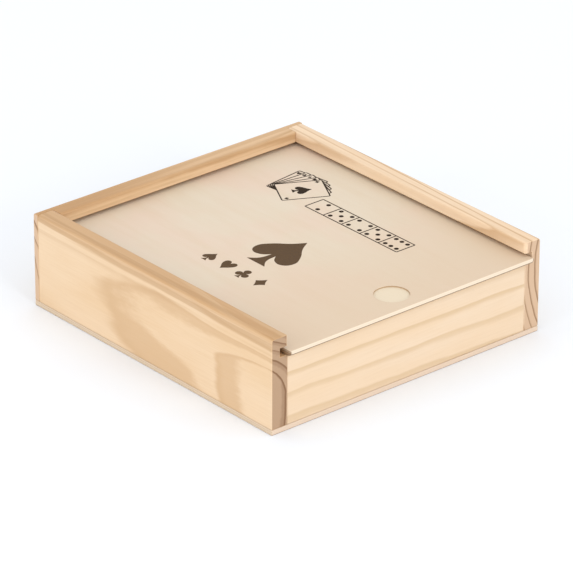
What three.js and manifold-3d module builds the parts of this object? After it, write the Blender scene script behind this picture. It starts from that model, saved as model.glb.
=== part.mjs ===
// A pine box with a sliding plywood lid that holds two decks of playing cards and five dice.
// Millimetres, +Z up. The origin is the middle of the box's underside, +X runs right along the front
// and +Y runs to the back. The lid slides out to the front, along -Y.
import * as THREE from "three";
import { RoundedBoxGeometry } from "three/addons/geometries/RoundedBoxGeometry.js";
import { mergeVertices } from "three/addons/utils/BufferGeometryUtils.js";
import Module from "manifold-3d";

const wasm = await Module();
wasm.setup();

// Driving dimensions.
const BOX = { height: 44.2 };
const BOARD = { thickness: 8.5, outerRound: 1.5, innerRound: 1 };
const CORNER = { lap: 3 }; // what the back board's rabbet leaves over each side board's rear end
const PANEL = { thickness: 2.4 };
const FRONT = { belowGroove: 0.8, round: 0.8 };
const GROOVE = { belowRim: 5.2, height: 4, depth: 4 };
const LID = { thickness: 2.2, overhang: 2.5, leftPlay: 2.8, rightPlay: 0.5, backPlay: 1, cornerRound: 2 };
const THUMB = { diameter: 15.5, depth: 0.6, fromFront: 13.3 };
const DIVIDER = { thickness: 3, belowGroove: 6.6, slotDepth: 2 };
const DECK = { width: 63, length: 88, height: 16.7, cornerRound: 3.5, sideRoom: 1, endRoom: 4 };
const DIE = { size: 16, round: 1.6, gap: 6, wallRoom: 4.5, spread: 18 };
const PIP = { ball: 2, depth: 0.8, pitch: 4 };
const CLEAR = { underLid: 0.2, slot: 0.15, behindSlot: 0.2 };
const OVERRUN = 1; // how far a cutter runs past the face it opens

// How each die lies: the value on top, its shift as shares of the gap between dice and of the
// room they spread over, and its turn as a share of a full turn.
const DICE_SHARES = [
  { top: 5, across: -0.2, forward: 0.1, turn: 0.012 },
  { top: 2, across: 0.12, forward: 0.34, turn: -0.03 },
  { top: 6, across: -0.22, forward: 0.02, turn: 0.258 },
  { top: 3, across: -0.1, forward: 0.4, turn: 0.045 },
  { top: 4, across: 0.1, forward: 0.16, turn: -0.016 },
];

// Two decks lie side by side and the dice in front of them, which sets the box's width and depth.
const deckBayWidth = DECK.width + 2 * DECK.sideRoom;
const deckBayLength = DECK.length + 2 * DECK.endRoom;
const diceBayLength = DIE.size + 2 * DIE.wallRoom + DIE.spread;
const halfWidth = BOARD.thickness + deckBayWidth + DIVIDER.thickness / 2;
const halfDepth = BOARD.thickness + (deckBayLength + DIVIDER.thickness + diceBayLength) / 2;

// Levels and places that follow from them.
const floor = PANEL.thickness;
const rim = BOX.height;
const grooveTop = rim - GROOVE.belowRim;
const grooveFloor = grooveTop - GROOVE.height;
const innerHalfWidth = halfWidth - BOARD.thickness;
const innerFront = -halfDepth + BOARD.thickness;
const innerBack = halfDepth - BOARD.thickness;
const lapFace = halfDepth - CORNER.lap;
const crossBack = innerBack - deckBayLength;
const crossFront = crossBack - DIVIDER.thickness;
const dividerTop = grooveFloor - DIVIDER.belowGroove;
const lidBottom = grooveFloor + CLEAR.underLid;
const lidTop = lidBottom + LID.thickness;
const lidFront = -halfDepth - LID.overhang;

const ARC_STEPS = 6;
const RECESS_STEPS = 40;
const DIE_STEPS = 2;
const PIP_STEPS = { around: 10, over: 6 };

const PINE = { color: 0xe6cb9c, roughness: 0.62, metalness: 0 };
const PLYWOOD = { color: 0xe8dac2, roughness: 0.5, metalness: 0 };
const CARD_STOCK = { color: 0xf1eee6, roughness: 0.45, metalness: 0 };
const DICE_PLASTIC = { color: 0xf4f0e4, roughness: 0.25, metalness: 0 };

// A closed outline from corners [x, y, round], where a round above 0 turns the corner into an arc.
function outline(corners) {
  const shape = new THREE.Shape();
  corners.forEach(([x, y, round = 0], i) => {
    const corner = new THREE.Vector2(x, y);
    const before = new THREE.Vector2(...corners.at(i - 1));
    const after = new THREE.Vector2(...corners[(i + 1) % corners.length]);
    const start = corner.clone().add(before.sub(corner).setLength(round));
    const end = corner.clone().add(after.sub(corner).setLength(round));
    if (i === 0) shape.moveTo(start.x, start.y);
    else shape.lineTo(start.x, start.y);
    if (round > 0) shape.quadraticCurveTo(corner.x, corner.y, end.x, end.y);
  });
  shape.closePath();
  return shape;
}

function rectangle(x0, x1, y0, y1) {
  return [[x0, y0], [x1, y0], [x1, y1], [x0, y1]];
}

// An outline in the X-Y plane, raised from z0 to z1.
function raised(corners, z0, z1) {
  const geometry = new THREE.ExtrudeGeometry(outline(corners), {
    depth: z1 - z0,
    bevelEnabled: false,
    curveSegments: ARC_STEPS,
  });
  return geometry.translate(0, 0, z0);
}

// An outline in the X-Z plane, run along Y from y0 to y1.
function alongY(corners, y0, y1) {
  return raised(corners, -y1, -y0).rotateX(Math.PI / 2);
}

// An outline in the Y-Z plane, run along X from x0 to x1.
function alongX(corners, x0, x1) {
  return raised(corners, x0, x1).rotateZ(Math.PI / 2).rotateY(Math.PI / 2);
}

function block(x0, x1, y0, y1, z0, z1) {
  return raised(rectangle(x0, x1, y0, y1), z0, z1);
}

function solid(geometry) {
  const bare = geometry.clone().deleteAttribute("normal").deleteAttribute("uv");
  const merged = mergeVertices(bare);
  const triVerts = new Uint32Array(merged.index.array);
  const vertProperties = merged.attributes.position.array;
  return new wasm.Manifold(new wasm.Mesh({ numProp: 3, vertProperties, triVerts }));
}

function geometryOf(body) {
  const { vertProperties, triVerts } = body.getMesh();
  return new THREE.BufferGeometry()
    .setAttribute("position", new THREE.BufferAttribute(vertProperties, 3))
    .setIndex(new THREE.BufferAttribute(triVerts, 1));
}

function cut(geometry, ...cutters) {
  const body = cutters.reduce((rest, cutter) => rest.subtract(solid(cutter)), solid(geometry));
  return geometryOf(body);
}

function piece(name, geometry, look) {
  const shaded = geometry.index ? geometry.toNonIndexed() : geometry;
  shaded.computeVertexNormals();
  const mesh = new THREE.Mesh(shaded, new THREE.MeshStandardMaterial(look));
  mesh.name = name;
  return mesh;
}

// A board's section: u is its distance from the outer face, v its height. The groove opens inwards.
function groovedSection(place) {
  const inner = BOARD.thickness;
  const grooveBottom = inner - GROOVE.depth;
  return [
    [0, floor],
    [inner, floor],
    [inner, grooveFloor],
    [grooveBottom, grooveFloor],
    [grooveBottom, grooveTop],
    [inner, grooveTop],
    [inner, rim, BOARD.innerRound],
    [0, rim, BOARD.outerRound],
  ].map(([u, v, round]) => [place(u), v, round]);
}

// The cross divider's slot in one side board, from the box's floor up to the lid groove.
function crossSlot(side) {
  const bottom = innerHalfWidth + DIVIDER.slotDepth;
  const mouth = innerHalfWidth - OVERRUN;
  const x = [side * mouth, side * bottom].sort((a, b) => a - b);
  return block(...x, crossFront - CLEAR.slot, crossBack + CLEAR.slot, floor - OVERRUN, grooveFloor);
}

function sideBoard(name, side) {
  const place = (u) => side * (halfWidth - u);
  const section = groovedSection(place);
  if (side > 0) section.reverse();
  return piece(name, cut(alongY(section, -halfDepth, lapFace), crossSlot(side)), PINE);
}

// The back board spans the full width. Its rabbets clear the side boards' rear ends.
function backBoard() {
  const section = groovedSection((u) => halfDepth - u).reverse();
  const rabbets = [-1, 1].map((side) => {
    const x = [side * innerHalfWidth, side * (halfWidth + OVERRUN)].sort((a, b) => a - b);
    return block(...x, innerBack - OVERRUN, lapFace, floor - OVERRUN, rim + OVERRUN);
  });
  const halfSlot = DIVIDER.thickness / 2 + CLEAR.slot;
  const slotBottom = innerBack + DIVIDER.slotDepth;
  const deckSlot = block(
    -halfSlot, halfSlot, innerBack - OVERRUN, slotBottom, floor - OVERRUN, grooveFloor,
  );
  return piece("back_board", cut(alongX(section, -halfWidth, halfWidth), ...rabbets, deckSlot), PINE);
}

function frontBoard() {
  const top = grooveFloor - FRONT.belowGroove;
  const section = [
    [-halfDepth, floor],
    [innerFront, floor],
    [innerFront, top, FRONT.round],
    [-halfDepth, top, FRONT.round],
  ];
  return piece("front_board", alongX(section, -innerHalfWidth, innerHalfWidth), PINE);
}

function bottomPanel() {
  return piece("bottom_panel", block(-halfWidth, halfWidth, -halfDepth, halfDepth, 0, floor), PLYWOOD);
}

// The lid lies on the groove floors, pushed to the right, with its rear edge in the back board's groove.
function slidingLid() {
  const reach = innerHalfWidth + GROOVE.depth;
  const left = -reach + LID.leftPlay;
  const right = reach - LID.rightPlay;
  const back = innerBack + GROOVE.depth - LID.backPlay;
  const plan = [
    [left, lidFront, LID.cornerRound],
    [right, lidFront, LID.cornerRound],
    [right, back],
    [left, back],
  ];
  const radius = THUMB.diameter / 2;
  const recess = new THREE.CylinderGeometry(radius, radius, THUMB.depth + OVERRUN, RECESS_STEPS)
    .rotateX(Math.PI / 2)
    .translate(0, lidFront + THUMB.fromFront, lidTop - THUMB.depth + (THUMB.depth + OVERRUN) / 2);
  return piece("sliding_lid", cut(raised(plan, lidBottom, lidTop), recess), PLYWOOD);
}

function crossDivider() {
  const reach = innerHalfWidth + DIVIDER.slotDepth - CLEAR.behindSlot;
  const sheet = block(-reach, reach, crossFront, crossBack, floor, dividerTop);
  return piece("cross_divider", sheet, PLYWOOD);
}

function deckDivider() {
  const half = DIVIDER.thickness / 2;
  const end = innerBack + DIVIDER.slotDepth - CLEAR.behindSlot;
  return piece("deck_divider", block(-half, half, crossBack, end, floor, dividerTop), PLYWOOD);
}

// A deck lies face down in the middle of its bay.
function cardDeck(name, side) {
  const bayMiddle = side * (innerHalfWidth + DIVIDER.thickness / 2) / 2;
  const x = DECK.width / 2;
  const y = DECK.length / 2;
  const card = rectangle(-x, x, -y, y).map(([u, v]) => [u, v, DECK.cornerRound]);
  const deck = piece(name, raised(card, 0, DECK.height), CARD_STOCK);
  deck.position.set(bayMiddle, (crossBack + innerBack) / 2, floor);
  return deck;
}

// A face's pips lie on a grid of three by three: each is [across, up] in pitches from its middle.
const CORNER_PAIR = [[-1, 1], [1, -1]];
const OTHER_PAIR = [[-1, -1], [1, 1]];
const SIDE_PAIR = [[-1, 0], [1, 0]];
const CENTRE = [[0, 0]];
const PIPS = {
  1: CENTRE,
  2: CORNER_PAIR,
  3: [...CORNER_PAIR, ...CENTRE],
  4: [...CORNER_PAIR, ...OTHER_PAIR],
  5: [...CORNER_PAIR, ...OTHER_PAIR, ...CENTRE],
  6: [...CORNER_PAIR, ...OTHER_PAIR, ...SIDE_PAIR],
};

// The turn about X, then about Y, that takes a face from the top to its place. Opposite values add up to 7.
const QUARTER = Math.PI / 2;
const FACE_TURNS = {
  1: [0, 0],
  2: [QUARTER, 0],
  3: [0, QUARTER],
  4: [0, -QUARTER],
  5: [-QUARTER, 0],
  6: [2 * QUARTER, 0],
};

function dieGeometry() {
  const cube = new RoundedBoxGeometry(DIE.size, DIE.size, DIE.size, DIE_STEPS, DIE.round);
  const ballHeight = DIE.size / 2 - PIP.depth + PIP.ball;
  const pips = Object.entries(PIPS).flatMap(([value, places]) => {
    const [aboutX, aboutY] = FACE_TURNS[value];
    return places.map(([across, up]) =>
      new THREE.SphereGeometry(PIP.ball, PIP_STEPS.around, PIP_STEPS.over)
        .rotateX(QUARTER)
        .translate(across * PIP.pitch, up * PIP.pitch, ballHeight)
        .rotateX(aboutX)
        .rotateY(aboutY),
    );
  });
  return cut(cube, ...pips);
}

const dieShape = dieGeometry();

function die(index, { top, across, forward, turn }) {
  const mesh = piece(`die_${index + 1}`, dieShape, DICE_PLASTIC);
  const [aboutX, aboutY] = FACE_TURNS[top];
  mesh.rotation.set(-aboutX, -aboutY, 0, "XYZ");
  const stand = new THREE.Group();
  const fromMiddle = index - (DICE_SHARES.length - 1) / 2;
  const x = fromMiddle * (DIE.size + DIE.gap) + across * DIE.gap;
  const nearest = crossFront - DIE.wallRoom - DIE.size / 2;
  stand.position.set(x, nearest - forward * DIE.spread, floor + DIE.size / 2);
  stand.rotation.z = turn * 2 * Math.PI;
  stand.add(mesh);
  return stand;
}

const box = new THREE.Group();
box.add(
  bottomPanel(),
  sideBoard("side_board_left", -1),
  sideBoard("side_board_right", 1),
  backBoard(),
  frontBoard(),
  crossDivider(),
  deckDivider(),
);

const contents = new THREE.Group();
contents.add(cardDeck("card_deck_left", -1), cardDeck("card_deck_right", 1));
DICE_SHARES.forEach((place, index) => contents.add(die(index, place)));

const cardAndDiceBox = new THREE.Group();
cardAndDiceBox.add(box, contents, slidingLid());

export default cardAndDiceBox;
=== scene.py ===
import math
import random

import bmesh
import bpy
from mathutils import Matrix, Vector


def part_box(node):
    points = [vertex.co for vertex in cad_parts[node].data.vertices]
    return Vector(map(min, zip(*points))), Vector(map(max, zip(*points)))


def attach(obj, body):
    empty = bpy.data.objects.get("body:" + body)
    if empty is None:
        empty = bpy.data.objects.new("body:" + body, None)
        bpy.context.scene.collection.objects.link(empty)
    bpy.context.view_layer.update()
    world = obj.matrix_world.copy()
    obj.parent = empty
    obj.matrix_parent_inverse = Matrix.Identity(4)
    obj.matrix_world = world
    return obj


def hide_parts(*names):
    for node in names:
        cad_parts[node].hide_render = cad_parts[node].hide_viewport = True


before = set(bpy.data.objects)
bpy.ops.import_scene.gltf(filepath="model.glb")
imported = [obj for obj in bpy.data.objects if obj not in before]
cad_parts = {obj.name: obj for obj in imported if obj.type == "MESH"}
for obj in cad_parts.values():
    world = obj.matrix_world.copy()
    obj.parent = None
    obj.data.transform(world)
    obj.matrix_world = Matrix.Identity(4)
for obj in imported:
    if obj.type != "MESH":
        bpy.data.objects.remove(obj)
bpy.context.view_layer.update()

SCENE = bpy.context.scene
MM = 0.001

LID_LOW, LID_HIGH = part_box("sliding_lid")
BASE_LOW, BASE_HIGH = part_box("bottom_panel")
BOX_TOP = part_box("back_board")[1].z
BOX_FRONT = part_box("side_board_left")[0].y

# How far the arrises are sanded off, and how far those beside the lid's mouth are rounded, in what steps.
ARRIS = {"board": 0.35 * MM, "panel": 0.3 * MM}
MOUTH = {"left": 1 * MM, "right": 2 * MM}
ROUNDING_CUTS = tuple(math.radians(turn) for turn in (15, 30, 45, 60, 75))
# Points nearer than MERGE count as one, faces that turn by less than FLAT as one flat face, and an
# edge where they turn by more than SHARP as an arris.
MERGE = 0.001 * MM
FLAT = math.radians(1)
SHARP = math.radians(35)


# Colours and node helpers

def colour(red, green, blue):
    """A display colour, 0 to 255, as the linear colour that a shader takes."""
    def linear(value):
        share = value / 255
        return share / 12.92 if share <= 0.04045 else ((share + 0.055) / 1.055) ** 2.4
    return (linear(red), linear(green), linear(blue), 1)


def add_node(tree, kind, inputs=(), **settings):
    """A node with these settings. Its inputs, by name or number, are linked to sockets or set to values."""
    made = tree.nodes.new(kind)
    for name, value in settings.items():
        setattr(made, name, value)
    for key, value in dict(inputs).items():
        if isinstance(value, bpy.types.NodeSocket):
            tree.links.new(value, made.inputs[key])
        else:
            made.inputs[key].default_value = value
    return made


def maths(tree, operation, *values):
    return add_node(tree, "ShaderNodeMath", dict(enumerate(values)), operation=operation).outputs[0]


def times(tree, first, second):
    return maths(tree, "MULTIPLY", first, second)


def less(tree, first, second):
    return maths(tree, "SUBTRACT", first, second)


def vectors(tree, operation, *values):
    inputs = dict(enumerate(values))
    if operation == "SCALE":
        inputs["Scale"] = inputs.pop(1)
    return add_node(tree, "ShaderNodeVectorMath", inputs, operation=operation).outputs["Vector"]


def axes_of(tree, vector):
    return add_node(tree, "ShaderNodeSeparateXYZ", {0: vector}).outputs


def ramp(tree, value, start, end, low=0.0, high=1.0, curve="SMOOTHSTEP"):
    """low up to start, high from end on, and a smooth step between them."""
    inputs = {"Value": value, "From Min": start, "From Max": end, "To Min": low, "To Max": high}
    made = add_node(tree, "ShaderNodeMapRange", inputs, interpolation_type=curve, clamp=True)
    return made.outputs["Result"]


# Each noise: how fast it changes across, along and up a board, in steps for each millimetre, and then
# its detail and its roughness.
NOISES = {
    "drift": ((0.11, 0.03, 0.11), 3, 0.5),
    "rag": ((0.3, 0.09, 0.3), 3, 0.6),
    "fibre": ((1.6, 0.045, 1.6), 4, 0.62),
    "streaks": ((0.4, 0.006, 0.4), 2, 0.5),
    "tone": ((0.05, 0.012, 0.05), 3, 0.5),
    "clouds": ((0.035, 0.028, 0.035), 3, 0.5),
    "figure": ((0.2, 0.02, 0.2), 5, 0.6),
    "pores": ((2.2, 0.18, 2.2), 2, 0.7),
    "patches": ((1, 1, 1), 4, 0.6),
}


def noise(tree, place, name, seed, output="Fac"):
    """One of the noises, at a place in millimetres."""
    speed, detail, roughness = NOISES[name]
    place = vectors(tree, "MULTIPLY", place, speed)
    inputs = {"Vector": place, "W": seed, "Scale": 1, "Detail": detail, "Roughness": roughness}
    return add_node(tree, "ShaderNodeTexNoise", inputs, noise_dimensions="4D").outputs[output]


def blend(tree, share, first, second):
    inputs = {0: share, 6: first, 7: second}
    return add_node(tree, "ShaderNodeMix", inputs, data_type="RGBA", clamp_factor=True).outputs[2]


def new_group(name, inputs, outputs):
    """A node group with named sockets: {name: (type, default)} in and {name: type} out."""
    tree = bpy.data.node_groups.new(name, "ShaderNodeTree")
    for socket, (kind, default) in inputs.items():
        made = tree.interface.new_socket(socket, in_out="INPUT", socket_type="NodeSocket" + kind)
        if default is not None:
            made.default_value = default
    for socket, kind in outputs.items():
        tree.interface.new_socket(socket, in_out="OUTPUT", socket_type="NodeSocket" + kind)
    entry = tree.nodes.new("NodeGroupInput").outputs
    leave = tree.nodes.new("NodeGroupOutput").inputs
    return tree, entry, leave


def use_group(tree, group, inputs):
    return add_node(tree, "ShaderNodeGroup", inputs, node_tree=group).outputs


def new_material(name, gloss):
    """A material, its node tree, its shader and a socket with the place on the piece in metres."""
    material = bpy.data.materials.new(name)
    material.use_nodes = True
    tree = material.node_tree
    shader = tree.nodes["Principled BSDF"]
    shader.inputs["Specular IOR Level"].default_value = gloss
    place = tree.nodes.new("ShaderNodeTexCoord").outputs["Object"]
    return material, tree, shader, place


def facing_of(tree):
    """Which way a face looks, as its normal's three axes."""
    return axes_of(tree, tree.nodes.new("ShaderNodeTexCoord").outputs["Normal"])


def along_grain(tree, place, along_x):
    """The place turned so that the grain runs along Y, where it runs along X or Y on the piece."""
    if not along_x:
        return place
    return add_node(tree, "ShaderNodeMapping", {"Vector": place, "Rotation": QUARTER_BACK}).outputs[0]


def add_relief(tree, shader, height, strength, depth):
    bump = add_node(tree, "ShaderNodeBump", {"Height": height, "Strength": strength, "Distance": depth})
    tree.links.new(bump.outputs[0], shader.inputs["Normal"])


def colours_of(table, changed):
    """A table of display colours by name, some of them changed, as linear colours."""
    return {name: colour(*values) for name, values in {**table, **dict(changed)}.items()}


def set_surface(tree, shader, base, roughness):
    tree.links.new(base, shader.inputs["Base Color"])
    tree.links.new(roughness, shader.inputs["Roughness"])


QUARTER_BACK = (0, 0, -math.pi / 2)  # lays X along -Y, and Y along X
# How glossy each material is, as Blender's specular level.
GLOSS = {"pine": 0.35, "plywood": 0.4, "ink": 0.1, "plastic": 0.5, "card": 0.45, "floor": 0.1}

# The steps in the materials: where each starts and ends, and then, unless it goes from 0 to 1 or
# between two inputs, what it goes from and to.
STEPS = {
    # How far above the pith a point lies, in millimetres.
    "upper side": (-4, 4),
    "lower spread": (-17, -5, 1, 0),
    "upper spread": (2, 8),
    # How many rings out from the innermost one it lies.
    "outer rings": (1, 1.02),
    # Where it lies in its ring, from 0 at the inner side to 1 at the outer.
    "peak": (0.8, 0.94),
    "late end": (0.9, 1.0, 1, 0),
    "line": (0.74, 0.88),
    "line end": (0.94, 1.0, 1, 0),
    "rise": (0, 0.22),
    # A ring's own chance value.
    "strength": (0, 1, 0.6, 1),
    # Noises in pine.
    "streaks": (0.4, 0.58),
    "tone": (0.38, 0.68),
    "fibre": (0.35, 0.8, 0.0, 0.22),
    "pine roughness": (0.2, 0.8, 0.5, 0.68),
    # How squarely a face looks up, or along the grain.
    "pine top": (0.2, 0.6),
    "pine end": (0.88, 0.97),
    # Noises in plywood.
    "clouds": (0.35, 0.66),
    "figure": (0.4, 0.8, 0, 0.22),
    "pores": (0.62, 0.78),
    "plywood roughness": (0.2, 0.8, 0.42, 0.56),
    # How squarely a face looks through the plies, down, and along the middle ply's grain.
    "ply edge": (0.88, 0.98, 1, 0),
    "turned down": (-0.3, -0.1, 1, 0),
    "not underside": (-0.97, -0.9),
    "ply end": (0.15, 0.4),
    # How far from the middle of the sheet a point lies, as a share of its thickness.
    "middle ply": (0.17, 0.2, 1, 0),
    "glue start": (0.14, 0.18),
    "glue end": (0.2, 0.24, 1, 0),
    # How far a ply's edge is end grain.
    "glue strength": (0, 1, 0.12, 0.8),
    # Fine patches in ink, plastic and card.
    "patches": (0.3, 0.7),
    "card roughness": (0.3, 0.7, 0.34, 0.44),
    # The lattice, as a share of its pitch from the nearest line, and the margins in millimetres.
    "bars": (0.08, 0.11, 1, 0),
    "knots": (0.34, 0.38),
    "frame start": (3.6, 3.75),
    "frame end": (4.5, 4.65, 1, 0),
    "field": (5.2, 5.35),
    "card back": (0.8, 0.9),
}


def step(tree, value, name, *between):
    return ramp(tree, value, *STEPS[name], *between)


# Pine

RING_CHANGE = 0.8  # how fast the rings' widths change, in steps for each ring
JUST_INSIDE = 0.01  # how far inside its inner side the innermost ring stays, as a share of its width
FIRST_SPREAD = {"below": 0.1, "above": -0.25}  # the spreads of the late wood in the innermost ring
PEAK = 0.2  # how much of the late wood's tone comes only near the ring's end


def growth_rings():
    """The growth rings, fibres and tone of a board sawn from a log whose pith runs beside it.

    Place has the grain along Y. Lengths are in millimetres. The pith is a straight line, at Pith
    where Y is 0 and leaning by Lean for each millimetre, that bends away by Bend at Bend Start and
    straightens over Bend Length. Ring Start is the radius at which one of the rings ends. Rings
    that grew on the upper side of the trunk lie closer by the share Above, and those below by Below.
    First Ring is the innermost ring to show, counted from the one that ends at Ring Start. The late
    wood starts at the share Late Start of a ring's width, and earlier below and above the pith by the
    shares Spread Below and Spread Above. In the innermost ring it starts at First Late, and is thin
    above the pith.
    """
    tree, entry, leave = new_group(
        "growth rings",
        {
            "Place": ("Vector", None), "Pith": ("Vector", (60, 0, 0)), "Lean": ("Vector", (0, 0, 0)),
            "Bend": ("Vector", (0, 0, 0)), "Bend Start": ("Float", -80.0), "Bend Length": ("Float", 54.0),
            "Ring Start": ("Float", 45.0), "Ring Width": ("Float", 5.0), "First Ring": ("Float", -1000.0),
            "Above": ("Float", 1.0), "Below": ("Float", 1.0),
            "Late Start": ("Float", 0.6), "First Late": ("Float", 0.6),
            "Spread Below": ("Float", 0.0), "Spread Above": ("Float", 0.0),
            "Unevenness": ("Float", 0.5), "Ragged": ("Float", 0.1), "Wobble": ("Float", 1.0),
            "Seed": ("Float", 0.0),
        },
        {"Late Wood": "Float", "Ring Line": "Float", "Fibre": "Float", "Streaks": "Float", "Tone": "Float"},
    )
    seed = entry["Seed"]
    place = vectors(tree, "SCALE", entry["Place"], 1 / MM)
    drift = vectors(tree, "SUBTRACT", noise(tree, place, "drift", seed, "Color"), (0.5,) * 3)
    moved = vectors(tree, "ADD", place, vectors(tree, "SCALE", drift, entry["Wobble"]))
    along = axes_of(tree, place)["Y"]
    pith = vectors(tree, "ADD", entry["Pith"], vectors(tree, "SCALE", entry["Lean"], along))
    run = maths(tree, "DIVIDE", less(tree, entry["Bend Start"], along), entry["Bend Length"])
    bend = vectors(tree, "SCALE", entry["Bend"], maths(tree, "EXPONENT", run))
    across = axes_of(tree, vectors(tree, "SUBTRACT", moved, vectors(tree, "ADD", pith, bend)))

    # How many rings out a point lies, as whole years and the share of its own ring.
    closer = step(tree, across["Z"], "upper side", entry["Below"], entry["Above"])
    height = times(tree, across["Z"], closer)
    radius = maths(tree, "ADD", maths(tree, "POWER", across["X"], 2), maths(tree, "POWER", height, 2))
    radius = maths(tree, "SQRT", radius)
    years = maths(tree, "DIVIDE", less(tree, radius, entry["Ring Start"]), entry["Ring Width"])
    uneven = {"W": maths(tree, "ADD", years, seed), "Scale": RING_CHANGE, "Detail": 0}
    uneven = add_node(tree, "ShaderNodeTexNoise", uneven, noise_dimensions="1D").outputs[0]
    shift = times(tree, less(tree, uneven, 0.5), entry["Unevenness"])
    innermost = maths(tree, "ADD", entry["First Ring"], JUST_INSIDE)
    years = maths(tree, "MAXIMUM", maths(tree, "ADD", years, shift), innermost)
    year = maths(tree, "FRACT", years)
    which = maths(tree, "ADD", maths(tree, "FLOOR", years), seed)
    chance = add_node(tree, "ShaderNodeTexWhiteNoise", {"W": which}, noise_dimensions="1D").outputs[0]
    strength = step(tree, chance, "strength")

    # Where the late wood has begun, with a ragged start that differs in the innermost ring.
    rag = less(tree, noise(tree, place, "rag", seed), 0.5)
    rag = times(tree, rag, entry["Ragged"])
    out = less(tree, years, entry["First Ring"])
    below = step(tree, out, "outer rings", FIRST_SPREAD["below"], entry["Spread Below"])
    above = step(tree, out, "outer rings", FIRST_SPREAD["above"], entry["Spread Above"])
    lower = times(tree, step(tree, across["Z"], "lower spread"), below)
    upper = times(tree, step(tree, across["Z"], "upper spread"), above)
    begun = maths(tree, "ADD", maths(tree, "ADD", year, rag), maths(tree, "ADD", lower, upper))
    start = step(tree, out, "outer rings", entry["First Late"], entry["Late Start"])
    begun = less(tree, begun, start)
    body = times(tree, step(tree, begun, "rise"), 1 - PEAK)
    peak = times(tree, step(tree, year, "peak"), PEAK)
    late = times(tree, maths(tree, "ADD", body, peak), step(tree, year, "late end"))
    tree.links.new(times(tree, late, strength), leave["Late Wood"])
    line = times(tree, step(tree, year, "line"), step(tree, year, "line end"))
    tree.links.new(times(tree, line, strength), leave["Ring Line"])

    tree.links.new(noise(tree, moved, "fibre", seed), leave["Fibre"])
    tree.links.new(step(tree, noise(tree, moved, "streaks", seed), "streaks"), leave["Streaks"])
    tree.links.new(step(tree, noise(tree, place, "tone", seed), "tone"), leave["Tone"])
    return tree


def inside_box():
    """1 inside a box given by its middle and half its size, and 0 outside it."""
    tree, entry, leave = new_group(
        "inside box",
        {"Place": ("Vector", None), "Middle": ("Vector", (0, 0, 0)), "Half Size": ("Vector", (1, 1, 1))},
        {"Inside": "Float"},
    )
    offset = vectors(tree, "ABSOLUTE", vectors(tree, "SUBTRACT", entry["Place"], entry["Middle"]))
    room = axes_of(tree, vectors(tree, "SUBTRACT", entry["Half Size"], offset))
    least = maths(tree, "MINIMUM", maths(tree, "MINIMUM", room["X"], room["Y"]), room["Z"])
    tree.links.new(ramp(tree, least, 0, SOFT_EDGE), leave["Inside"])
    return tree


SOFT_EDGE = 0.15 * MM
RINGS = growth_rings()
INSIDE_BOX = inside_box()
# The lid's grooves, in millimetres. Their reach is past both ends of every board.
GROOVE = {"wall": 66.5, "back_wall": 71.0, "floor": 35.0, "top": 39.0, "depth": 4.0, "reach": 80}
GROOVE_SHADE_FADE = (BOX_FRONT + 2 * MM, BOX_FRONT + 9 * MM)  # where the painted shade at the grooves' front mouths gives way to painted light deeper in
# The darkest brown is painted shade at the front mouths of the lid's grooves, and the palest is painted light
# that lifts the shade deeper inside them.
PINE_COLOURS = {
    "early": (222, 195, 162), "warm": (217, 186, 148), "late": (194, 158, 117), "top": (184, 144, 102),
    "end": (201, 170, 140), "end_line": (142, 108, 76), "groove_mouth_shade": (74, 45, 24), "seam": (150, 112, 74),
    "groove_painted_light": (246, 226, 196), "streak": (172, 132, 88),
}
# The heights at which a board starts to take on its top's tone and its streaks, and has them in full.
RIM_TONE = (BOX_TOP - 3 * MM, BOX_TOP - 0.8 * MM)
RIM_STREAKS = (BOX_TOP - 10 * MM, BOX_TOP - 3 * MM)
SEAM = 0.9 * MM  # how high the glue shows over the base
# How strongly each shows: the top's tone under the rim, the painted shade and light in the grooves, the glue
# seam, and the late wood in end grain.
SHARES = {"tone under rim": 0.7, "groove": 0.85, "seam": 0.45, "late wood in ends": 0.5}
NO_TOP = ((-80, 80), (0, 0))
PINE_RELIEF = {"late wood": 0.6, "strength": 0.25, "depth": 0.08 * MM}


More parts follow.
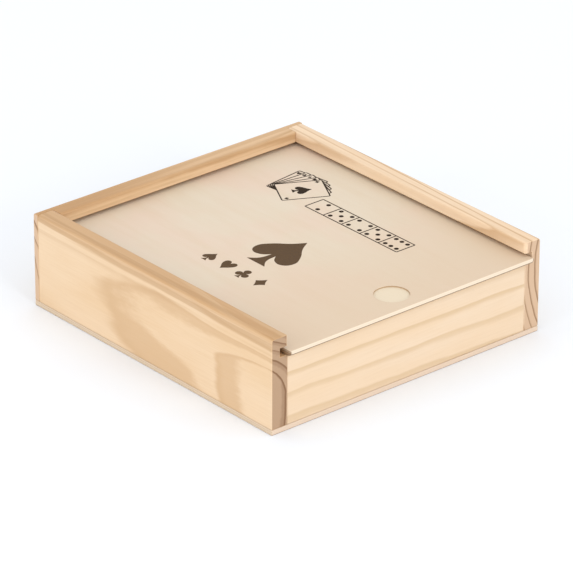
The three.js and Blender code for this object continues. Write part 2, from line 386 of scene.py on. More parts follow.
def pine(name, pith, groove=None, along_x=False, colours=(), top=NO_TOP, streaks=0.1, **figure):
    """Bare sanded pine, with painted shade at the front mouth of its groove and painted light deeper in.
    The pith, the rings and the groove (middle, half size) are in millimetres.

    The top shows its own tone by the second pair of shares at the first pair of places along the
    board, and a value of the figure may also be given as two such pairs. Streaks is the strength of
    the dark streaks on the top and close under it.
    """
    tones = colours_of(PINE_COLOURS, colours)
    material, tree, shader, place = new_material(name, GLOSS["pine"])
    spot = axes_of(tree, place)
    along = maths(tree, "DIVIDE", spot["X" if along_x else "Y"], MM)
    inputs = {"Place": along_grain(tree, place, along_x), "Pith": (pith[0], 0, pith[1])}
    for key, value in figure.items():
        if isinstance(value, tuple) and isinstance(value[0], tuple):
            value = ramp(tree, along, *value[0], *value[1])
        inputs[key.replace("_", " ").title()] = value
    rings = use_group(tree, RINGS, inputs)
    facing = facing_of(tree)
    end = step(tree, maths(tree, "ABSOLUTE", facing["X" if along_x else "Y"]), "pine end")

    under_rim = ramp(tree, spot["Z"], *RIM_TONE, 0, SHARES["tone under rim"])
    topped = maths(tree, "MAXIMUM", step(tree, facing["Z"], "pine top"), under_rim)
    topped = times(tree, topped, ramp(tree, along, *top[0], *top[1]))
    tone = blend(tree, rings["Tone"], tones["early"], tones["warm"])
    tone = blend(tree, topped, tone, tones["top"])
    banded = blend(tree, rings["Late Wood"], tone, tones["late"])
    streaked = times(tree, rings["Streaks"], ramp(tree, spot["Z"], *RIM_STREAKS, 0, streaks))
    banded = blend(tree, streaked, banded, tones["streak"])
    fibrous = blend(tree, step(tree, rings["Fibre"], "fibre"), banded, tones["late"])
    dense = times(tree, rings["Late Wood"], SHARES["late wood in ends"])
    ends = blend(tree, dense, tones["end"], tones["end_line"])
    ends = blend(tree, rings["Ring Line"], ends, tones["end_line"])
    wood = blend(tree, end, fibrous, ends)
    if groove:
        middle, half = ([value * MM for value in part] for part in groove)
        inside = use_group(tree, INSIDE_BOX, {"Place": place, "Middle": middle, "Half Size": half})
        # Painted shade darkens the groove at its front mouth and gives way to painted light further in.
        cut = blend(tree, ramp(tree, spot["Y"], *GROOVE_SHADE_FADE), tones["groove_mouth_shade"], tones["groove_painted_light"])
        wood = blend(tree, times(tree, inside["Inside"], SHARES["groove"]), wood, cut)
    glued = ramp(tree, spot["Z"], BASE_HIGH.z, BASE_HIGH.z + SEAM, SHARES["seam"], 0)
    wood = blend(tree, glued, wood, tones["seam"])
    set_surface(tree, shader, wood, step(tree, rings["Fibre"], "pine roughness"))
    height = times(tree, rings["Late Wood"], PINE_RELIEF["late wood"])
    height = maths(tree, "ADD", rings["Fibre"], height)
    add_relief(tree, shader, height, PINE_RELIEF["strength"], PINE_RELIEF["depth"])
    return material


# Plywood

def veneer():
    """A peeled birch veneer with its grain along Y: soft clouds, a faint figure and short dark pores."""
    tree, entry, leave = new_group(
        "veneer",
        {"Place": ("Vector", None), "Seed": ("Float", 0.0)},
        {"Cloud": "Float", "Figure": "Float", "Pores": "Float"},
    )
    place = vectors(tree, "SCALE", entry["Place"], 1 / MM)
    tree.links.new(noise(tree, place, "clouds", entry["Seed"]), leave["Cloud"])
    tree.links.new(noise(tree, place, "figure", entry["Seed"]), leave["Figure"])
    tree.links.new(step(tree, noise(tree, place, "pores", entry["Seed"]), "pores"), leave["Pores"])
    return tree


VENEER = veneer()
PLY_COLOURS = {
    "pale": (214, 200, 179), "warm": (216, 195, 175), "figure": (206, 182, 148), "pore": (164, 132, 98),
    # The under tone is painted shade on the arrises that turn downwards.
    "edge": (230, 213, 190), "end": (138, 108, 78), "glue": (92, 66, 42), "under": (116, 88, 62),
    # The wall tone is painted shade on the thumb recess's wall.
    "inner": (222, 208, 182), "wall": (176, 146, 112), "handled": (209, 186, 159),
}
HANDLED_FROM = 20 * MM  # the lid darkens from here to its front
PLY_SHARES = {"pores": 0.1, "edge": 0.85, "outer end": 0.8, "under": 0.8, "bed": 0.75}
PLY_RELIEF = {"strength": 0.2, "depth": 0.05 * MM}


def plywood(
    name, sheet, through="Z", ends="X", along_x=False, seed=0.0, colours=(), recess=None, handled=0.0,
):
    """Three-ply birch. Its plies lie one on the next along one axis, between a sheet's two corners.

    The middle ply shows end grain towards another axis. The recess (middle, half size) is cut down
    into the middle ply, and the sheet is darker towards the front by the share handled. The recess's
    wall carries painted shade.
    """
    tones = colours_of(PLY_COLOURS, colours)
    material, tree, shader, place = new_material(name, GLOSS["plywood"])
    grain = use_group(tree, VENEER, {"Place": along_grain(tree, place, along_x), "Seed": seed})
    face = blend(tree, step(tree, grain["Cloud"], "clouds"), tones["pale"], tones["warm"])
    face = blend(tree, step(tree, grain["Figure"], "figure"), face, tones["figure"])
    face = blend(tree, times(tree, grain["Pores"], PLY_SHARES["pores"]), face, tones["pore"])
    spot = axes_of(tree, place)
    face = blend(tree, ramp(tree, spot["Y"], HANDLED_FROM, BOX_FRONT, 0, handled), face, tones["handled"])

    low, high = (getattr(corner, through.lower()) for corner in sheet)
    ply = ramp(tree, spot[through], low, high, curve="LINEAR")
    from_middle = maths(tree, "ABSOLUTE", less(tree, ply, 0.5))
    middle_ply = step(tree, from_middle, "middle ply")
    glue = step(tree, from_middle, "glue start")
    glue = times(tree, glue, step(tree, from_middle, "glue end"))
    facing = facing_of(tree)
    side = step(tree, maths(tree, "ABSOLUTE", facing[through]), "ply edge")
    end = step(tree, maths(tree, "ABSOLUTE", facing[ends]), "ply end")
    # Arrises that turn downwards, short of the flat underside, get painted shade.
    under = step(tree, facing["Z"], "turned down")
    under = times(tree, under, step(tree, facing["Z"], "not underside"))

    edge = blend(tree, PLY_SHARES["edge"], face, tones["edge"])
    core = blend(tree, end, edge, tones["end"])
    outer = blend(tree, times(tree, end, PLY_SHARES["outer end"]), edge, tones["end"])
    edge = blend(tree, middle_ply, outer, core)
    glue = times(tree, glue, step(tree, end, "glue strength"))
    edge = blend(tree, glue, edge, tones["glue"])
    edge = blend(tree, times(tree, under, PLY_SHARES["under"]), edge, tones["under"])
    wood = blend(tree, side, face, edge)
    if recess:
        middle, half = recess
        inside = use_group(tree, INSIDE_BOX, {"Place": place, "Middle": middle, "Half Size": half})
        bed = blend(tree, PLY_SHARES["bed"], face, tones["inner"])
        # The recess's wall gets painted shade.
        bed = blend(tree, side, bed, tones["wall"])
        wood = blend(tree, inside["Inside"], wood, bed)
    set_surface(tree, shader, wood, step(tree, grain["Figure"], "plywood roughness"))
    height = less(tree, grain["Figure"], grain["Pores"])
    add_relief(tree, shader, height, PLY_RELIEF["strength"], PLY_RELIEF["depth"])
    return material


# Ink, card and dice plastic

def speckle():
    """Fine uneven patches, of a size in millimetres, as thin ink or polished plastic has."""
    tree, entry, leave = new_group(
        "speckle",
        {"Place": ("Vector", None), "Size": ("Float", 1.0), "Seed": ("Float", 0.0)},
        {"Patches": "Float"},
    )
    place = vectors(tree, "SCALE", entry["Place"], maths(tree, "DIVIDE", 1 / MM, entry["Size"]))
    tree.links.new(noise(tree, place, "patches", entry["Seed"]), leave["Patches"])
    return tree


SPECKLE = speckle()


def patchy(tree, place, tones, size, seed):
    """Patches of this size in millimetres, and a mix of two colours in such patches."""
    patches = use_group(tree, SPECKLE, {"Place": place, "Size": size, "Seed": seed})["Patches"]
    return patches, blend(tree, step(tree, patches, "patches"), *(colour(*tone) for tone in tones))


def mottled(name, tones, size, rough, gloss, seed):
    """A surface between two colours and two roughnesses, in patches of this size in millimetres."""
    material, tree, shader, place = new_material(name, gloss)
    patches, mixed = patchy(tree, place, tones, size, seed)
    set_surface(tree, shader, mixed, step(tree, patches, "patches", *rough))
    return material


# A playing card. Air is the share of a card's place in the deck that is left open, and the few cards on
# top lie looser than the rest, by these millimetres and degrees.
CARD = {"width": 63 * MM, "length": 88 * MM, "corner": 3.5 * MM, "count": 54, "air": 0.12}
LOOSE = {"cards": 3, "top": 0.35, "rest": 0.14}
CORNER_FACETS = 6  # in how many facets a card's or die's corners are rounded
LATTICE_PITCH = 6.8  # on the card's back, in millimetres
CARD_STOCK = {"tones": ((250, 248, 243), (243, 239, 230)), "size": 3.0, "seed": 1.0}


def card_back(name, ink, middle):
    """A coated card: a lattice of small diamonds in a frame on its back, and bare white elsewhere."""
    material, tree, shader, place = new_material(name, GLOSS["card"])
    axes = axes_of(tree, vectors(tree, "SCALE", vectors(tree, "SUBTRACT", place, middle), 1 / MM))
    from_side = less(tree, CARD["width"] / MM / 2, maths(tree, "ABSOLUTE", axes["X"]))
    from_end = less(tree, CARD["length"] / MM / 2, maths(tree, "ABSOLUTE", axes["Y"]))
    margin = maths(tree, "MINIMUM", from_side, from_end)

    def from_nearest(operation):
        total = maths(tree, operation, axes["X"], axes["Y"])
        return maths(tree, "PINGPONG", maths(tree, "DIVIDE", total, LATTICE_PITCH), 0.5)

    nearest = maths(tree, "MINIMUM", from_nearest("ADD"), from_nearest("SUBTRACT"))
    bare = maths(tree, "MAXIMUM", step(tree, nearest, "bars"), step(tree, nearest, "knots"))
    field = times(tree, less(tree, 1, bare), step(tree, margin, "field"))
    frame_line = times(tree, step(tree, margin, "frame start"), step(tree, margin, "frame end"))
    printed = maths(tree, "MAXIMUM", field, frame_line)
    printed = times(tree, printed, step(tree, facing_of(tree)["Z"], "card back"))
    patches, white = patchy(tree, place, **CARD_STOCK)
    base = blend(tree, printed, white, colour(*ink))
    set_surface(tree, shader, base, step(tree, patches, "card roughness"))
    return material


# Meshes

def copy_of(node):
    """A bmesh of a CAD node's surface, with its triangles merged and its flat faces made whole."""
    bm = bmesh.new()
    bm.from_mesh(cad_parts[node].data)
    bmesh.ops.remove_doubles(bm, verts=bm.verts, dist=MERGE)
    bmesh.ops.dissolve_limit(bm, angle_limit=FLAT, verts=bm.verts, edges=bm.edges)
    return bm


def sharp_edges(bm, chosen=lambda middle: True):
    """The sharp edges whose middles pass a test."""
    found = []
    for edge in bm.edges:
        middle = (edge.verts[0].co + edge.verts[1].co) / 2
        if len(edge.link_faces) == 2 and edge.calc_face_angle() > SHARP and chosen(middle):
            found.append(edge)
    return found


def soften(bm, edges, width, segments=3):
    bmesh.ops.bevel(
        bm, geom=edges, offset=width, offset_type="OFFSET", affect="EDGES",
        segments=segments, profile=0.5, material=-1, clamp_overlap=True,
    )


def shade(bm):
    """Curved and sanded faces are shaded smooth, but flat faces and sharp edges stay crisp."""
    bm.normal_update()
    for face in bm.faces:
        face.smooth = max(abs(part) for part in face.normal) < math.cos(FLAT)
    for edge in bm.edges:
        edge.smooth = len(edge.link_faces) != 2 or edge.calc_face_angle() < SHARP


def mesh_of(bm, name, material=None):
    mesh = bpy.data.meshes.new(name)
    bm.to_mesh(mesh)
    bm.free()
    if material:
        mesh.materials.append(material)
    return mesh


def add_object(name, data):
    made = bpy.data.objects.new(name, data)
    SCENE.collection.objects.link(made)
    return made


def make_piece(bm, name, body, material, replaces=()):
    shade(bm)
    place_piece(mesh_of(bm, name, material), name, body, replaces)


def place_piece(mesh, name, body, replaces=()):
    piece = add_object(name, mesh)
    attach(piece, body)
    if replaces:
        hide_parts(*replaces)


def round_off(bm, middle, first, second, radius, above=-1.0):
    """Rounds the arris between two faces by flat cuts about a middle line, only above a height."""
    for turn in ROUNDING_CUTS:
        outward = first * math.cos(turn) + second * math.sin(turn)
        faces = [face for face in bm.faces if min(vert.co.z for vert in face.verts) > above - MERGE]
        rims = {edge for face in faces for edge in face.edges}
        corners = {vert for face in faces for vert in face.verts}
        cut = bmesh.ops.bisect_plane(
            bm, geom=[*corners, *rims, *faces], dist=MERGE,
            plane_co=middle + outward * radius, plane_no=outward, clear_outer=True,
        )["geom_cut"]
        bmesh.ops.contextual_create(bm, geom=[part for part in cut if isinstance(part, bmesh.types.BMEdge)])
    bmesh.ops.recalc_face_normals(bm, faces=bm.faces[:])


def sanded(node, material, width, mouth=0.0):
    """A CAD node with its arrises sanded off, and the upper inner one rounder where the lid comes out."""
    bm = copy_of(node)
    soften(bm, sharp_edges(bm), width)
    if mouth:
        side = math.copysign(1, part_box(node)[0].x)
        height = GROOVE["top"] * MM
        whole = [*bm.verts, *bm.edges, *bm.faces]
        bmesh.ops.bisect_plane(bm, geom=whole, dist=MERGE, plane_co=(0, 0, height), plane_no=(0, 0, 1))
        middle = Vector((side * (GROOVE["wall"] * MM + mouth), BOX_FRONT + mouth, 0))
        round_off(bm, middle, Vector((-side, 0, 0)), Vector((0, -1, 0)), mouth, height)
    make_piece(bm, node + "_sanded", "box", material, (node,))


# The box

def make_box():
    rise = (GROOVE["top"] - GROOVE["floor"]) / 2
    level = (GROOVE["top"] + GROOVE["floor"]) / 2
    inset = GROOVE["depth"] / 2
    side = GROOVE["wall"] + inset
    reach = GROOVE["reach"]
    left = pine(
        "pine left", pith=(-127.3, 27.5), bend=(15.3, 0, -11), bend_start=-79.5, bend_length=54,
        ring_start=44.9, ring_width=5.7, first_ring=-1, above=((-60, 30), (1.8, 0.7)), below=0.4,
        unevenness=0.1, ragged=0.34, late_start=0.69, first_late=0.44, spread_below=0.5,
        spread_above=((-40, 15), (0.26, 0)), wobble=1.6, seed=3.0, streaks=0.55,
        groove=((-side, 0, level), (inset, reach, rise)), top=((-80, 80), (1, 0.8)),
        colours={
            "late": (201, 167, 128), "top": (192, 153, 110),
            "end": (173, 142, 113), "end_line": (127, 93, 63),
        },
    )
    right = pine(
        "pine right", pith=(134.8, 29.8), lean=(0.03, 0, -0.02), ring_start=64.4, ring_width=3.6,
        unevenness=0.4, wobble=1.2, seed=11.0, groove=((side, 0, level), (inset, reach, rise)),
        colours={"early": (233, 210, 182), "warm": (230, 202, 170)},
    )
    back = pine(
        "pine back", pith=(118, 2), lean=(0.02, 0, 0.05), ring_start=40, ring_width=4.6,
        unevenness=0.6, wobble=3.0, seed=23.0, along_x=True,
        groove=((0, GROOVE["back_wall"] + inset, level), (reach, inset, rise)), top=((-75, 60), (1, 0.2)),
        streaks=0.35,
        colours={
            "early": (222, 190, 152), "warm": (211, 177, 136),
            "late": (187, 148, 105), "top": (186, 145, 102),
        },
    )
    front = pine(
        "pine front", pith=(-119.5, -13), lean=(0.008, 0, 0.004), ring_start=50.2, ring_width=6.1,
        unevenness=0.3, wobble=2.2, seed=37.0, along_x=True,
        colours={"early": (223, 200, 173), "warm": (222, 196, 165), "late": (206, 178, 142)},
    )
    sanded("side_board_left", left, ARRIS["board"], MOUTH["left"])
    sanded("side_board_right", right, ARRIS["board"], MOUTH["right"])
    sanded("back_board", back, ARRIS["board"])
    sanded("front_board", front, ARRIS["board"])
    base = plywood(
        "plywood base", (BASE_LOW, BASE_HIGH), seed=5.0,
        colours={
            "edge": (216, 193, 171), "end": (206, 186, 160),
            # The under tone here is painted shade on the base's arrises that turn downwards.
            "glue": (168, 138, 106), "under": (150, 116, 84),
        },
    )
    sanded("bottom_panel", base, ARRIS["panel"])
    upright = {"edge": (226, 208, 180), "end": (190, 160, 126), "glue": (150, 120, 90)}
    crosswise = plywood(
        "plywood cross divider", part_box("cross_divider"), "Y", "Z", along_x=True, seed=9.0, colours=upright,
    )
    sanded("cross_divider", crosswise, ARRIS["panel"])
    lengthwise = plywood(
        "plywood deck divider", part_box("deck_divider"), "X", "Z", seed=12.0, colours=upright,
    )
    sanded("deck_divider", lengthwise, ARRIS["panel"])


# Where the thumb recess lies, from the lid's front edge. The tone of its bed and the painted shade on its
# wall reach this far around it, and stop this far under the lid's top.
RECESS = {
    "from_front": 13.3 * MM, "radius": 7.75 * MM, "depth": 0.6 * MM,
    "tone_around": 0.3 * MM, "tone_under": 0.05 * MM,
}
NEAR = 3 * MM  # an edge no farther from the recess than this belongs to it
LID_ROUND = 1.5 * MM
# The widths sanded off the lid's other arrises, and in how many facets.
LID_SANDING = {"recess": (0.1 * MM, 2), "top": (0.6 * MM, 4), "under": (0.75 * MM, 2)}


def make_lid():
    bm = copy_of("sliding_lid")

    def at_recess(middle):
        inside = LID_LOW.y + NEAR < middle.y < LID_HIGH.y - NEAR
        return inside and abs(middle.x) < RECESS["radius"] + NEAR

    def on_top(middle):
        return middle.z > LID_HIGH.z - MERGE and not at_recess(middle)

    def underneath(middle):
        return middle.z < LID_LOW.z + MERGE

    for chosen, sanding in ((at_recess, "recess"), (on_top, "top"), (underneath, "under")):
        soften(bm, sharp_edges(bm, chosen), *LID_SANDING[sanding])
    for side, reach in ((-1, LID_LOW.x), (1, LID_HIGH.x)):
        middle = Vector((reach - side * LID_ROUND, 0, LID_HIGH.z - LID_ROUND))
        round_off(bm, middle, Vector((side, 0, 0)), Vector((0, 0, 1)), LID_ROUND)
    centre = (0, LID_LOW.y + RECESS["from_front"], LID_HIGH.z - RECESS["depth"])
    reach = RECESS["radius"] + RECESS["tone_around"]
    half = (reach, reach, RECESS["depth"] - RECESS["tone_under"])
    lid = plywood("plywood lid", (LID_LOW, LID_HIGH), seed=2.0, recess=(centre, half), handled=0.8)
    make_piece(bm, "sliding_lid_sanded", "lid", lid, ("sliding_lid",))


# The print on the lid. Its own axes are along, towards the front, and up, to the right, in millimetres.

FILM = 0.02  # how thick the ink lies
LINE = 0.6  # how wide an outline is
PRINT_MERGE = 1e-5  # points nearer than this count as one
CURVE_STEPS = 5
PIP_CORNERS = 20
# The right half of each suit's outline from the top down, in shares of its height. True is a corner.
SUITS = {
    "spade": (
        (0, 0.5, True), (0.12, 0.31, False), (0.33, 0.08, False), (0.42, -0.12, False),
        (0.33, -0.28, False), (0.16, -0.27, False), (0.045, -0.15, True), (0.08, -0.36, False),
        (0.2, -0.5, True),
    ),
    "heart": (
        (0, 0.26, True), (0.11, 0.43, False), (0.27, 0.48, False), (0.42, 0.37, False),
        (0.44, 0.16, False), (0.31, -0.1, False), (0.13, -0.32, False), (0, -0.5, True),
    ),
    "club": (
        (0, 0.5, False), (0.15, 0.44, False), (0.22, 0.29, False), (0.17, 0.15, False),
        (0.1, 0.06, True), (0.24, 0.1, False), (0.39, 0.03, False), (0.45, -0.12, False),
        (0.38, -0.27, False), (0.23, -0.33, False), (0.1, -0.27, False), (0.04, -0.16, True),
        (0.08, -0.37, False), (0.2, -0.5, True),
    ),
    "diamond": (
        (0, 0.5, True), (0.16, 0.23, False), (0.37, 0, True), (0.16, -0.23, False), (0, -0.5, True),
    ),
}
# The fan: the point that its cards turn about, how far that lies from a card's left side, and their
# size. Then the cards' turns in degrees and their suits from the rearmost on, and how high and how far
# from a card's sides the symbol in its corner is. The front card has a larger one in its middle too.
FAN = {"along": -40.8, "up": 29.3, "grip": 6.4, "width": 17.6, "length": 22.2, "round": 1.0}
FAN_TURNS = (7, -2, -11, -20, -28)
FAN_SUITS = ("heart", "club", "diamond", "heart", "spade")
SYMBOL = {"corner": 2.3, "in": 1.9, "down": 2.6, "middle": 9.0}
# The row of dice: its lower left corner, one die's cell, the pips' radius, and their distance from the
# middle as a share of the cell.
DICE_ROW = {"start": -20.2, "low": 28.3, "cell": 12.0, "height": 10.6, "pip": 1.08, "spread": 0.3}
DICE_VALUES = (2, 5, 4, 5, 6)
LARGE_SUIT = {"name": "spade", "height": 29.0, "along": 8.5, "up": -9.5}
SUIT_ROW = {
    "names": ("spade", "heart", "club", "diamond"),
    "height": 8.0, "along": -8.0, "pitch": 11.0, "up": -35.2,
}
# The printed pips' places about the middle of a face.
CORNER_PIPS = ((-1, 1), (1, -1), (-1, -1), (1, 1))
PIP_PLACES = {
    2: ((0, -1), (0, 1)),
    4: CORNER_PIPS,
    5: (*CORNER_PIPS, (0, 0)),
    6: (*CORNER_PIPS, (0, -1), (0, 1)),
}


def suit_shape(name, height, along, up, turn=0.0):
    """A suit symbol as a flat mesh in the print's axes."""
    half = SUITS[name]
    mirrored = [(-x, y, corner) for x, y, corner in reversed(half) if x]
    curve = bpy.data.curves.new(name, "CURVE")
    curve.dimensions = "2D"
    curve.fill_mode = "BOTH"
    curve.resolution_u = CURVE_STEPS
    spline = curve.splines.new("BEZIER")
    outline = [*half, *mirrored]
    spline.bezier_points.add(len(outline) - 1)
    spline.use_cyclic_u = True
    for point, (x, y, corner) in zip(spline.bezier_points, outline):
        point.co = (x * height, y * height, 0)
        point.handle_left_type = point.handle_right_type = "VECTOR" if corner else "AUTO"
    holder = bpy.data.objects.new(name, curve)
    mesh = bpy.data.meshes.new_from_object(holder)
    bpy.data.objects.remove(holder)
    bpy.data.curves.remove(curve)
    mesh.transform(Matrix.Translation((along, up, 0)) @ Matrix.Rotation(turn, 4, "Z"))
    return mesh


def card_outline(width, length, rounding):
    """A flat card standing on the middle of its foot."""
    bm = bmesh.new()
    bmesh.ops.create_grid(bm, x_segments=1, y_segments=1, size=0.5)
    bmesh.ops.scale(bm, vec=(width, length, 1), verts=bm.verts)
    bmesh.ops.translate(bm, vec=(0, length / 2, 0), verts=bm.verts)
    bmesh.ops.bevel(
        bm, geom=bm.verts[:], offset=rounding, affect="VERTICES", segments=3, profile=0.5, material=-1,
    )
    return bm


def frames_only(bm, line):
    """Turns each face into a frame of this line width."""
    inner = bm.faces[:]
    bmesh.ops.inset_individual(bm, faces=inner, thickness=line, use_even_offset=True)
    bmesh.ops.delete(bm, geom=inner, context="FACES")


def cut_away(bm, placing, width, length):
    """Removes what lies under a card that is placed by a matrix."""
    back = placing.inverted()
    sides = (((-width / 2, 0), (1, 0)), ((width / 2, 0), (1, 0)), ((0, 0), (0, 1)), ((0, length), (0, 1)))
    for point, normal in sides:
        bmesh.ops.bisect_plane(
            bm, geom=[*bm.verts, *bm.edges, *bm.faces], dist=PRINT_MERGE,
            plane_co=placing @ Vector((*point, 0)), plane_no=placing.to_3x3() @ Vector((*normal, 0)),
        )
    hidden = []
    for face in bm.faces:
        middle = back @ face.calc_center_median()
        if abs(middle.x) < width / 2 and 0 < middle.y < length:
            hidden.append(face)
    bmesh.ops.delete(bm, geom=hidden, context="FACES")


def print_piece(bm, name, material):
    """Lays flat shapes in the print's axes on the lid, as a thin film of ink."""
    grown = bmesh.ops.extrude_face_region(bm, geom=bm.faces[:])["geom"]
    raised = [part for part in grown if isinstance(part, bmesh.types.BMVert)]
    bmesh.ops.translate(bm, vec=(0, 0, FILM), verts=raised)
    bmesh.ops.recalc_face_normals(bm, faces=bm.faces[:])
    turn = Matrix.Rotation(-math.pi / 2, 4, "Z")
    to_lid = Matrix.Translation((0, 0, LID_HIGH.z)) @ turn @ Matrix.Scale(MM, 4)
    bmesh.ops.transform(bm, matrix=to_lid, verts=bm.verts)
    make_piece(bm, name, "lid", material)


def add_mesh(bm, mesh):
    bm.from_mesh(mesh)
    bpy.data.meshes.remove(mesh)


def print_card_fan(ink):
    """Five cards in outline, fanned out about a place near their lower left corners."""
    width, length = FAN["width"], FAN["length"]
    small, across, down = SYMBOL["corner"], width / 2 - SYMBOL["in"], SYMBOL["down"]
    pivot = Matrix.Translation((FAN["along"], FAN["up"], 0))
    lift = Matrix.Translation((width / 2 - FAN["grip"], 0, 0))
    placings = [pivot @ Matrix.Rotation(math.radians(turn), 4, "Z") @ lift for turn in FAN_TURNS]
    whole = bmesh.new()
    for index, (placing, suit) in enumerate(zip(placings, FAN_SUITS)):
        bm = card_outline(width, length, FAN["round"])
        frames_only(bm, LINE)
        add_mesh(bm, suit_shape(suit, small, -across, length - down))
        if placing is placings[-1]:
            add_mesh(bm, suit_shape(suit, SYMBOL["middle"], 0, length / 2))
            add_mesh(bm, suit_shape(suit, small, across, down, math.pi))
        bmesh.ops.transform(bm, matrix=placing, verts=bm.verts)
        for later in placings[index + 1:]:
            cut_away(bm, later, width, length)
        add_mesh(whole, mesh_of(bm, "card"))
    print_piece(whole, "card_fan_print", ink)


def print_dice_row(ink):
    """Five dice faces side by side, in outline."""
    cell, height = DICE_ROW["cell"], DICE_ROW["height"]
    start, low = DICE_ROW["start"], DICE_ROW["low"]
    spread = DICE_ROW["spread"]
    length = cell * len(DICE_VALUES)
    bm = card_outline(length + LINE, height + LINE, LINE)
    bmesh.ops.translate(bm, vec=(start + length / 2, low - LINE / 2, 0), verts=bm.verts)
    for index in range(len(DICE_VALUES)):
        foot = Matrix.Translation((start + cell * (index + 0.5), low + LINE / 2, 0))
        cut_away(bm, foot, cell - LINE, height - LINE)
    for index, value in enumerate(DICE_VALUES):
        for along, up in PIP_PLACES[value]:
            x = start + cell * (index + 0.5 + spread * along)
            y = low + height * (0.5 + spread * up)
            bmesh.ops.create_circle(
                bm, cap_ends=True, segments=PIP_CORNERS, radius=DICE_ROW["pip"],
                matrix=Matrix.Translation((x, y, 0)),
            )
    print_piece(bm, "dice_row_print", ink)


def print_suits(ink):
    """A large spade over a row of the four suits."""
    bm = bmesh.new()
    large, row = LARGE_SUIT, SUIT_ROW
    add_mesh(bm, suit_shape(large["name"], large["height"], large["along"], large["up"]))
    for index, suit in enumerate(row["names"]):
        add_mesh(bm, suit_shape(suit, row["height"], row["along"] + row["pitch"] * index, row["up"]))
    print_piece(bm, "suit_print", ink)


def make_print():
    ink = {"rough": (0.55, 0.75), "gloss": GLOSS["ink"]}
    black = mottled("black ink", ((28, 18, 10), (56, 41, 27)), size=0.5, seed=4.0, **ink)
    brown = mottled("brown ink", ((82, 62, 42), (94, 73, 51)), size=0.8, seed=6.0, **ink)
    print_card_fan(black)
    print_dice_row(black)
    print_suits(brown)


# The cards

def one_card(thickness):
    bm = bmesh.new()
    bmesh.ops.create_cube(bm, size=1)
    bmesh.ops.scale(bm, vec=(CARD["width"], CARD["length"], thickness), verts=bm.verts)
    upright = [edge for edge in bm.edges if abs(edge.verts[0].co.z - edge.verts[1].co.z) > thickness / 2]
    soften(bm, upright, CARD["corner"], CORNER_FACETS)
    return mesh_of(bm, "card")


def make_deck(node, ink, seed):
    """A stack of single cards, none quite square to the next."""
    low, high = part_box(node)
    middle = (low + high) / 2
    pitch = (high.z - low.z) / CARD["count"]
    card = one_card(pitch * (1 - CARD["air"]))
    draw = random.Random(seed)
    bm = bmesh.new()
    for index in range(CARD["count"]):
        loose = LOOSE["top"] if index >= CARD["count"] - LOOSE["cards"] else LOOSE["rest"]
        shift = (draw.uniform(-loose, loose) * MM, draw.uniform(-loose, loose) * MM)
        turn = Matrix.Rotation(math.radians(draw.uniform(-loose, loose)), 4, "Z")
        height = low.z + pitch * (index + 0.5)
        place = Matrix.Translation((middle.x + shift[0], middle.y + shift[1], height))
        layer = card.copy()
        layer.transform(place @ turn)
        add_mesh(bm, layer)
    bpy.data.meshes.remove(card)
    back = card_back(node + " back", ink, (middle.x, middle.y, 0))
    make_piece(bm, node + "_cards", "box", back, (node,))


# The dice

DIE = {"size": 16 * MM, "round": 1.6 * MM, "ball": 2 * MM, "depth": 0.8 * MM, "pitch": 4 * MM}
# The ball that scoops a pip out. It is turned a little, so that its edges lie askew to the die's.
BALL = {"around": 20, "over": 16, "turn": 0.1}
QUARTER = math.pi / 2
# For each value, the turns about X and then Y that take a face from the top to its place on the die.
FACE_TURNS = {
    1: (0, 0), 2: (QUARTER, 0), 3: (0, QUARTER), 4: (0, -QUARTER), 5: (-QUARTER, 0), 6: (2 * QUARTER, 0),
}
FACE_PIPS = {
    1: ((0, 0),),
    2: CORNER_PIPS[:2],
    3: (*CORNER_PIPS[:2], (0, 0)),
    4: CORNER_PIPS,
    5: (*CORNER_PIPS, (0, 0)),
    6: (*CORNER_PIPS, (-1, 0), (1, 0)),
}
# The value on top of each die, and its turn about the upright as a share of a full one.
DICE_LIE = {
    "die_1": (5, 0.012), "die_2": (2, -0.03), "die_3": (6, 0.258),
    "die_4": (3, 0.045), "die_5": (4, -0.016),
}


def die_mesh(plastic, paint):
    """A rounded cube with its pips scooped out and painted, with the 1 on top."""
    bm = bmesh.new()
    bmesh.ops.create_cube(bm, size=DIE["size"])
    soften(bm, bm.edges[:], DIE["round"], CORNER_FACETS)
    die = add_object("die", mesh_of(bm, "die", plastic))
    balls = bmesh.new()
    height = DIE["size"] / 2 - DIE["depth"] + DIE["ball"]
    for value, pips in FACE_PIPS.items():
        about_x, about_y = FACE_TURNS[value]
        face = Matrix.Rotation(about_y, 4, "Y") @ Matrix.Rotation(about_x, 4, "X")
        for across, up in pips:
            place = face @ Matrix.Translation((across * DIE["pitch"], up * DIE["pitch"], height))
            bmesh.ops.create_uvsphere(
                balls, u_segments=BALL["around"], v_segments=BALL["over"], radius=DIE["ball"],
                matrix=place @ Matrix.Rotation(BALL["turn"], 4, "Z"),
            )
    scoop = add_object("pips", mesh_of(balls, "pips", paint))
    cut = die.modifiers.new("pips", "BOOLEAN")
    cut.object = scoop
    cut.solver = "EXACT"
    cut.material_mode = "TRANSFER"
    mesh = bpy.data.meshes.new_from_object(die.evaluated_get(bpy.context.evaluated_depsgraph_get()))
    for helper in (die, scoop):
        used = helper.data
        bpy.data.objects.remove(helper)
        bpy.data.meshes.remove(used)
    bm = bmesh.new()
    bm.from_mesh(mesh)
    shade(bm)
    bm.to_mesh(mesh)
    bm.free()
    return mesh


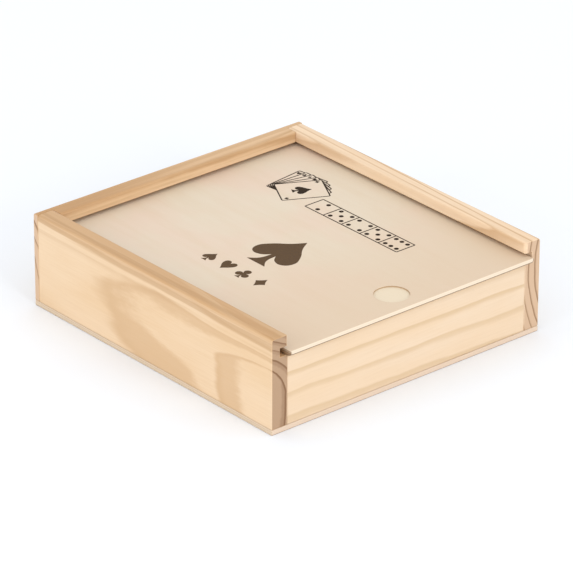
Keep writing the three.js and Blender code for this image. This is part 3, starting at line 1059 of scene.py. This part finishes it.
def make_dice():
    gloss = GLOSS["plastic"]
    ivory, black = ((244, 240, 228), (238, 232, 216)), ((18, 17, 17), (30, 29, 28))
    plastic = mottled("ivory plastic", ivory, size=4.0, rough=(0.16, 0.26), gloss=gloss, seed=8.0)
    paint = mottled("pip paint", black, size=0.6, rough=(0.3, 0.45), gloss=gloss, seed=9.0)
    die = die_mesh(plastic, paint)
    for node, (top, turn) in DICE_LIE.items():
        low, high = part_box(node)
        about_x, about_y = FACE_TURNS[top]
        stand = Matrix.Rotation(-about_x, 4, "X") @ Matrix.Rotation(-about_y, 4, "Y")
        turned = Matrix.Rotation(turn * 2 * math.pi, 4, "Z")
        mesh = die.copy()
        mesh.transform(Matrix.Translation((low + high) / 2) @ turned @ stand)
        place_piece(mesh, node + "_finished", "box", (node,))
    bpy.data.meshes.remove(die)


# The stage

CAMERA = {
    "azimuth": -40.49, "elevation": 26.25, "roll": 0.18, "lens": 298.9,
    "distance": 2.0579, "aim_right": 0.00053, "aim_up": 0.01343, "sight": 20,
}
SOFTBOXES = {
    "softbox front": {"azimuth": -5, "elevation": 22, "distance": 1.6, "size": 0.6, "watts": 6.8},
    "softbox left": {"azimuth": -90, "elevation": 16, "distance": 1.6, "size": 0.9, "watts": 6.2},
}
WORLD_LIGHT = 1.07
FLOOR = {"reach": 3, "colour": (0.84, 0.873, 0.918, 1), "roughness": 0.9}


def way_to(azimuth, elevation):
    """The way from the object to a camera or light. Azimuth 0 is the front, and -90 the left."""
    azimuth, elevation = math.radians(azimuth), math.radians(elevation)
    return Vector((
        math.sin(azimuth) * math.cos(elevation),
        -math.cos(azimuth) * math.cos(elevation),
        math.sin(elevation),
    ))


def make_camera():
    back = way_to(CAMERA["azimuth"], CAMERA["elevation"])
    turn = (-back).to_track_quat("-Z", "Y").to_matrix().to_4x4()
    turn = turn @ Matrix.Rotation(math.radians(CAMERA["roll"]), 4, "Z")
    aim = turn @ Vector((CAMERA["aim_right"], CAMERA["aim_up"], 0))
    data = bpy.data.cameras.new("camera")
    data.lens = CAMERA["lens"]
    data.clip_end = CAMERA["sight"]
    camera = add_object("camera", data)
    camera.matrix_world = Matrix.Translation(aim + back * CAMERA["distance"]) @ turn
    SCENE.camera = camera


def softbox(name, azimuth, elevation, distance, size, watts):
    data = bpy.data.lights.new(name, "AREA")
    data.shape = "SQUARE"
    data.size = size
    data.energy = watts
    back = way_to(azimuth, elevation)
    turn = back.to_track_quat("Z", "Y").to_matrix().to_4x4()
    add_object(name, data).matrix_world = Matrix.Translation(back * distance) @ turn


def make_stage():
    bm = bmesh.new()
    bmesh.ops.create_grid(bm, x_segments=1, y_segments=1, size=FLOOR["reach"])
    material, _, shader, _ = new_material("floor", GLOSS["floor"])
    shader.inputs["Base Color"].default_value = FLOOR["colour"]
    shader.inputs["Roughness"].default_value = FLOOR["roughness"]
    add_object("floor", mesh_of(bm, "floor", material))

    world = bpy.data.worlds.new("studio")
    world.use_nodes = True
    background = world.node_tree.nodes["Background"].inputs
    background["Color"].default_value = (1, 1, 1, 1)
    background["Strength"].default_value = WORLD_LIGHT
    SCENE.world = world
    for name, light in SOFTBOXES.items():
        softbox(name, **light)
    SCENE.view_settings.view_transform = "Standard"


make_camera()
make_stage()
make_box()
make_lid()
make_print()
make_deck("card_deck_left", ink=(176, 34, 40), seed=5)
make_deck("card_deck_right", ink=(34, 62, 130), seed=6)
make_dice()
